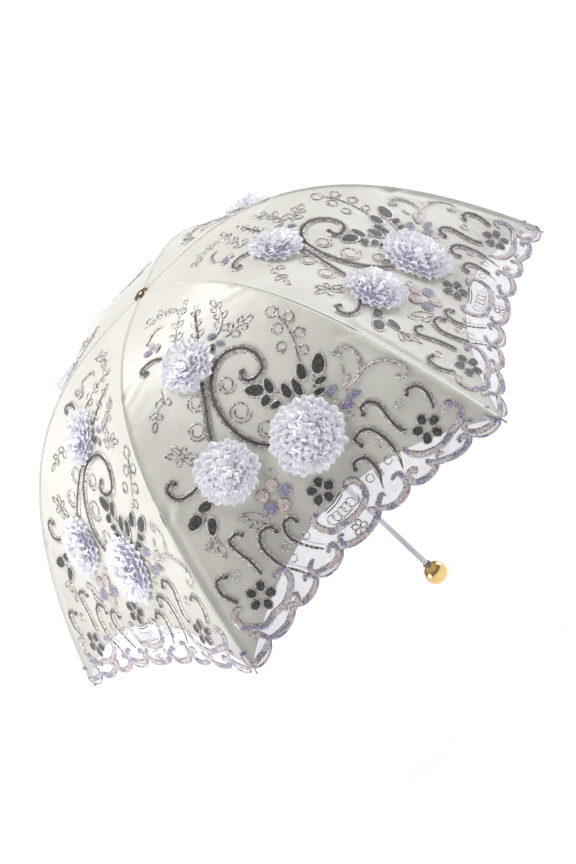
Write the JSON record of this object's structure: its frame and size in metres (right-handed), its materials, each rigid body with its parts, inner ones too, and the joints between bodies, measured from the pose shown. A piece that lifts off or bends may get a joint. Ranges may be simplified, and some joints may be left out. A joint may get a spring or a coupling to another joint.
{
  "type": "folding lace parasol",
  "caption": "Folding lace parasol: deep domed canopy on jointed wire ribs with a scalloped border, telescoping tube shaft and round ball handle.",
  "frame": {"origin": "centre of the flat foot under the ball handle", "axes": "+Z along the shaft from the handle to the top cap; +X along one rib's plane"},
  "size_m": [0.8448, 0.732, 0.5824],
  "materials": {
    "polished_gold": "mirror polished gold plate",
    "dark_metal": "dark blackened metal collar",
    "plated_tube": "bright plated steel tube",
    "pale_plastic": "moulded, slightly glossy",
    "rib_steel": "pressed plated steel",
    "rib_wire": "drawn sprung wire",
    "plated_tip": "bright plated tips",
    "coated_satin": "pale grey-green satin with a sheen, coated inside",
    "lace": "embroidered tulle with pink, lilac and charcoal stitching"
  },
  "bodies": {
    "handle": {"handle_ball": "polished_gold", "handle_collar": "dark_metal", "tube_lower": "plated_tube"},
    "middle_shaft": {"tube_middle": "plated_tube"},
    "top_shaft": {"tube_top": "plated_tube", "notch": "pale_plastic", "runner_catch": "rib_steel", "top_cap": "polished_gold", "canopy_panel_1": "coated_satin", "canopy_panel_2": "coated_satin", "canopy_panel_3": "coated_satin", "canopy_panel_4": "coated_satin", "canopy_panel_5": "coated_satin", "canopy_panel_6": "coated_satin", "lace_border_1": "lace", "lace_border_2": "lace", "lace_border_3": "lace", "lace_border_4": "lace", "lace_border_5": "lace", "lace_border_6": "lace"},
    "runner": {"runner": "pale_plastic"},
    "top_rib_1": {"top_rib_1": "rib_steel"},
    "stretcher_1": {"stretcher_1": "rib_steel"},
    "middle_rib_1": {"middle_rib_1": "rib_steel"},
    "outer_rib_1": {"outer_rib_1": "rib_wire", "rib_tip_1": "plated_tip"},
    "top_rib_2": {"top_rib_2": "rib_steel"},
    "stretcher_2": {"stretcher_2": "rib_steel"},
    "middle_rib_2": {"middle_rib_2": "rib_steel"},
    "outer_rib_2": {"outer_rib_2": "rib_wire", "rib_tip_2": "plated_tip"},
    "top_rib_3": {"top_rib_3": "rib_steel"},
    "stretcher_3": {"stretcher_3": "rib_steel"},
    "middle_rib_3": {"middle_rib_3": "rib_steel"},
    "outer_rib_3": {"outer_rib_3": "rib_wire", "rib_tip_3": "plated_tip"},
    "top_rib_4": {"top_rib_4": "rib_steel"},
    "stretcher_4": {"stretcher_4": "rib_steel"},
    "middle_rib_4": {"middle_rib_4": "rib_steel"},
    "outer_rib_4": {"outer_rib_4": "rib_wire", "rib_tip_4": "plated_tip"},
    "top_rib_5": {"top_rib_5": "rib_steel"},
    "stretcher_5": {"stretcher_5": "rib_steel"},
    "middle_rib_5": {"middle_rib_5": "rib_steel"},
    "outer_rib_5": {"outer_rib_5": "rib_wire", "rib_tip_5": "plated_tip"},
    "top_rib_6": {"top_rib_6": "rib_steel"},
    "stretcher_6": {"stretcher_6": "rib_steel"},
    "middle_rib_6": {"middle_rib_6": "rib_steel"},
    "outer_rib_6": {"outer_rib_6": "rib_wire", "rib_tip_6": "plated_tip"}
  },
  "joints": [
    {"name": "middle_shaft_slide", "type": "slide", "parent": "handle", "child": "middle_shaft", "axis": [0, 0, -1], "range_m": [0, 0.155]},
    {"name": "top_shaft_slide", "type": "slide", "parent": "middle_shaft", "child": "top_shaft", "axis": [0, 0, -1], "range_m": [0, 0.158]},
    {"name": "rib_1_fold", "type": "hinge", "parent": "top_shaft", "child": "top_rib_1", "pos_m": [0.0095, 0, 0.5695], "axis": [0, 1, 0], "range_deg": [0, 77], "deforming": ["canopy_panel_1", "canopy_panel_2", "canopy_panel_3", "canopy_panel_4", "canopy_panel_5", "canopy_panel_6", "lace_border_1", "lace_border_2", "lace_border_3", "lace_border_4", "lace_border_5", "lace_border_6"]},
    {"name": "stretcher_1_seat", "type": "hinge", "parent": "top_rib_1", "child": "stretcher_1", "pos_m": [0.10298, 0, 0.5523], "axis": [0, 1, 0], "range_deg": [-154, 0]},
    {"name": "rib_1_first_knee", "type": "hinge", "parent": "top_rib_1", "child": "middle_rib_1", "pos_m": [0.1944, 0, 0.54148], "axis": [0, 1, 0], "range_deg": [-206.36, 0]},
    {"name": "rib_1_second_knee", "type": "hinge", "parent": "middle_rib_1", "child": "outer_rib_1", "pos_m": [0.31637, 0, 0.43292], "axis": [0, 1, 0], "range_deg": [0, 160.16]},
    {"name": "rib_2_fold", "type": "hinge", "parent": "top_shaft", "child": "top_rib_2", "pos_m": [0.00475, 0.00823, 0.5695], "axis": [-0.866, 0.5, 0], "range_deg": [0, 77]},
    {"name": "stretcher_2_seat", "type": "hinge", "parent": "top_rib_2", "child": "stretcher_2", "pos_m": [0.05149, 0.08918, 0.5523], "axis": [-0.866, 0.5, 0], "range_deg": [-154, 0]},
    {"name": "rib_2_first_knee", "type": "hinge", "parent": "top_rib_2", "child": "middle_rib_2", "pos_m": [0.0972, 0.16835, 0.54148], "axis": [-0.866, 0.5, 0], "range_deg": [-206.36, 0]},
    {"name": "rib_2_second_knee", "type": "hinge", "parent": "middle_rib_2", "child": "outer_rib_2", "pos_m": [0.15819, 0.27399, 0.43292], "axis": [-0.866, 0.5, 0], "range_deg": [0, 160.16]},
    {"name": "rib_3_fold", "type": "hinge", "parent": "top_shaft", "child": "top_rib_3", "pos_m": [-0.00475, 0.00823, 0.5695], "axis": [-0.866, -0.5, 0], "range_deg": [0, 77]},
    {"name": "stretcher_3_seat", "type": "hinge", "parent": "top_rib_3", "child": "stretcher_3", "pos_m": [-0.05149, 0.08918, 0.5523], "axis": [-0.866, -0.5, 0], "range_deg": [-154, 0]},
    {"name": "rib_3_first_knee", "type": "hinge", "parent": "top_rib_3", "child": "middle_rib_3", "pos_m": [-0.0972, 0.16835, 0.54148], "axis": [-0.866, -0.5, 0], "range_deg": [-206.36, 0]},
    {"name": "rib_3_second_knee", "type": "hinge", "parent": "middle_rib_3", "child": "outer_rib_3", "pos_m": [-0.15819, 0.27399, 0.43292], "axis": [-0.866, -0.5, 0], "range_deg": [0, 160.16]},
    {"name": "rib_4_fold", "type": "hinge", "parent": "top_shaft", "child": "top_rib_4", "pos_m": [-0.0095, 0, 0.5695], "axis": [0, -1, 0], "range_deg": [0, 77]},
    {"name": "stretcher_4_seat", "type": "hinge", "parent": "top_rib_4", "child": "stretcher_4", "pos_m": [-0.10298, 0, 0.5523], "axis": [0, -1, 0], "range_deg": [-154, 0]},
    {"name": "rib_4_first_knee", "type": "hinge", "parent": "top_rib_4", "child": "middle_rib_4", "pos_m": [-0.1944, 0, 0.54148], "axis": [0, -1, 0], "range_deg": [-206.36, 0]},
    {"name": "rib_4_second_knee", "type": "hinge", "parent": "middle_rib_4", "child": "outer_rib_4", "pos_m": [-0.31637, 0, 0.43292], "axis": [0, -1, 0], "range_deg": [0, 160.16]},
    {"name": "rib_5_fold", "type": "hinge", "parent": "top_shaft", "child": "top_rib_5", "pos_m": [-0.00475, -0.00823, 0.5695], "axis": [0.866, -0.5, 0], "range_deg": [0, 77]},
    {"name": "stretcher_5_seat", "type": "hinge", "parent": "top_rib_5", "child": "stretcher_5", "pos_m": [-0.05149, -0.08918, 0.5523], "axis": [0.866, -0.5, 0], "range_deg": [-154, 0]},
    {"name": "rib_5_first_knee", "type": "hinge", "parent": "top_rib_5", "child": "middle_rib_5", "pos_m": [-0.0972, -0.16835, 0.54148], "axis": [0.866, -0.5, 0], "range_deg": [-206.36, 0]},
    {"name": "rib_5_second_knee", "type": "hinge", "parent": "middle_rib_5", "child": "outer_rib_5", "pos_m": [-0.15819, -0.27399, 0.43292], "axis": [0.866, -0.5, 0], "range_deg": [0, 160.16]},
    {"name": "rib_6_fold", "type": "hinge", "parent": "top_shaft", "child": "top_rib_6", "pos_m": [0.00475, -0.00823, 0.5695], "axis": [0.866, 0.5, 0], "range_deg": [0, 77]},
    {"name": "stretcher_6_seat", "type": "hinge", "parent": "top_rib_6", "child": "stretcher_6", "pos_m": [0.05149, -0.08918, 0.5523], "axis": [0.866, 0.5, 0], "range_deg": [-154, 0]},
    {"name": "rib_6_first_knee", "type": "hinge", "parent": "top_rib_6", "child": "middle_rib_6", "pos_m": [0.0972, -0.16835, 0.54148], "axis": [0.866, 0.5, 0], "range_deg": [-206.36, 0]},
    {"name": "rib_6_second_knee", "type": "hinge", "parent": "middle_rib_6", "child": "outer_rib_6", "pos_m": [0.15819, -0.27399, 0.43292], "axis": [0.866, 0.5, 0], "range_deg": [0, 160.16]},
    {"name": "runner_pin", "type": "hinge", "parent": "stretcher_1", "child": "runner", "pos_m": [0.0095, 0, 0.5351], "axis": [0, 1, 0], "range_deg": [0, 77]}
  ],
  "couplings": [
    {"joint": "stretcher_1_seat", "follows": "rib_1_fold", "ratio": -2},
    {"joint": "rib_1_first_knee", "follows": "rib_1_fold", "ratio": -2.68},
    {"joint": "rib_1_second_knee", "follows": "rib_1_fold", "ratio": 2.08},
    {"joint": "rib_2_fold", "follows": "rib_1_fold", "ratio": 1},
    {"joint": "stretcher_2_seat", "follows": "rib_1_fold", "ratio": -2},
    {"joint": "rib_2_first_knee", "follows": "rib_1_fold", "ratio": -2.68},
    {"joint": "rib_2_second_knee", "follows": "rib_1_fold", "ratio": 2.08},
    {"joint": "rib_3_fold", "follows": "rib_1_fold", "ratio": 1},
    {"joint": "stretcher_3_seat", "follows": "rib_1_fold", "ratio": -2},
    {"joint": "rib_3_first_knee", "follows": "rib_1_fold", "ratio": -2.68},
    {"joint": "rib_3_second_knee", "follows": "rib_1_fold", "ratio": 2.08},
    {"joint": "rib_4_fold", "follows": "rib_1_fold", "ratio": 1},
    {"joint": "stretcher_4_seat", "follows": "rib_1_fold", "ratio": -2},
    {"joint": "rib_4_first_knee", "follows": "rib_1_fold", "ratio": -2.68},
    {"joint": "rib_4_second_knee", "follows": "rib_1_fold", "ratio": 2.08},
    {"joint": "rib_5_fold", "follows": "rib_1_fold", "ratio": 1},
    {"joint": "stretcher_5_seat", "follows": "rib_1_fold", "ratio": -2},
    {"joint": "rib_5_first_knee", "follows": "rib_1_fold", "ratio": -2.68},
    {"joint": "rib_5_second_knee", "follows": "rib_1_fold", "ratio": 2.08},
    {"joint": "rib_6_fold", "follows": "rib_1_fold", "ratio": 1},
    {"joint": "stretcher_6_seat", "follows": "rib_1_fold", "ratio": -2},
    {"joint": "rib_6_first_knee", "follows": "rib_1_fold", "ratio": -2.68},
    {"joint": "rib_6_second_knee", "follows": "rib_1_fold", "ratio": 2.08},
    {"joint": "runner_pin", "follows": "rib_1_fold", "ratio": 1}
  ]
}
